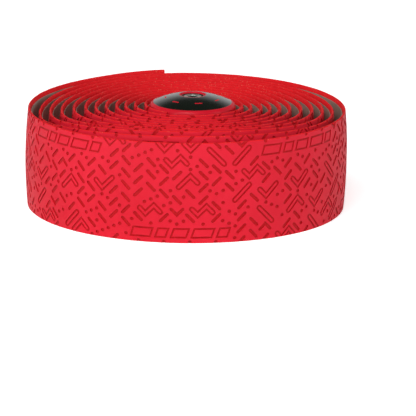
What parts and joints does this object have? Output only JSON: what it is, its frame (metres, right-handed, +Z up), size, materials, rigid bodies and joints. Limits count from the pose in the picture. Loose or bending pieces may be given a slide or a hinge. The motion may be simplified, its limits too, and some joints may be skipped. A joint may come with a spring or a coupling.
{
  "type": "handlebar tape roll",
  "caption": "Spirally wound roll of padded handlebar tape standing on its cut edge, with a release liner on its back and a domed expanding bar end plug seated in its core",
  "frame": {"origin": "Middle of the part's bounding box in plan, on the plane that the lower cut edge stands on", "axes": "+Z is up along the roll's axis, towards the plug's dome; +Y points to the side where the tape's outer end lies"},
  "size_m": [0.0962, 0.0972, 0.0337],
  "materials": {
    "grip_foam": "satin",
    "liner_paper": "matte",
    "cap_plastic": "gloss",
    "screw_steel": "satin",
    "sleeve_rubber": "matte",
    "nut_plastic": "matte"
  },
  "bodies": {
    "root": {"grip_tape": "grip_foam", "release_liner": "liner_paper", "plug_cap": "cap_plastic", "plug_screw": "screw_steel", "plug_sleeve": "sleeve_rubber", "plug_wedge_nut": "nut_plastic"}
  },
  "joints": []
}
